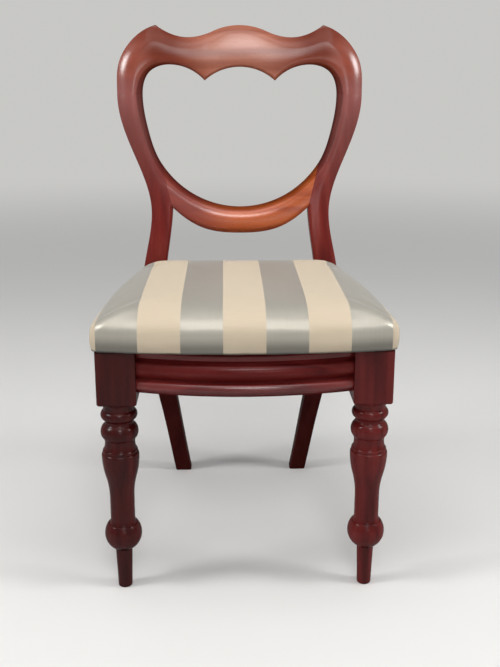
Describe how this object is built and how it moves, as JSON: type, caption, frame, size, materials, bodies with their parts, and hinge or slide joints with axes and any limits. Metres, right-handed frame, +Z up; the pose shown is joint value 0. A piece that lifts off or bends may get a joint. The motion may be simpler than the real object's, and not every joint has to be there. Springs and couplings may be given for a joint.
{
  "type": "balloon back dining chair",
  "caption": "Dining chair with an open, balloon-shaped back under a scalloped crest, a moulded bowed front rail, turned front legs, swept back legs and a striped lift-off seat.",
  "frame": {"origin": "on the floor, at the middle of the chair's bounding box: midway between the front of the seat and the heels of the back feet", "axes": "+Z up, +Y towards the back, +X to the right as seen from the front"},
  "size_m": [0.4648, 0.526, 0.869],
  "materials": {
    "mahogany": "French-polished mahogany, satin to gloss, red-brown",
    "beech": "bare beech",
    "steel": "plain steel wood screws",
    "webbing": "jute webbing",
    "hessian": "hessian",
    "horsehair": "curled hair stuffing under calico",
    "striped_cloth": "woven stripes, matte cream and satin grey-sage",
    "black_lining": "black cotton bottom cloth"
  },
  "bodies": {
    "chair_frame": {"crest_rail": "mahogany", "cross_rail": "mahogany", "left_back_upright": "mahogany", "right_back_upright": "mahogany", "front_rail": "mahogany", "back_rail": "mahogany", "left_side_rail": "mahogany", "right_side_rail": "mahogany", "left_front_leg": "mahogany", "right_front_leg": "mahogany", "crest_dowels": "beech", "cross_rail_dowels": "beech", "seat_rail_dowels": "beech", "seat_pegs": "beech", "front_left_corner_block": "beech", "front_right_corner_block": "beech", "back_left_corner_block": "beech", "back_right_corner_block": "beech", "corner_block_screws": "steel"},
    "seat": {"seat_frame_front": "beech", "seat_frame_back": "beech", "seat_frame_left": "beech", "seat_frame_right": "beech", "seat_frame_dowels": "beech", "webbing": "webbing", "hessian": "hessian", "seat_stuffing": "horsehair", "seat_cover": "striped_cloth", "bottom_cloth": "black_lining"}
  },
  "joints": [
    {"name": "seat_lift", "type": "slide", "parent": "chair_frame", "child": "seat", "axis": [0, 0, 1], "range_m": [0, 0.12]}
  ]
}
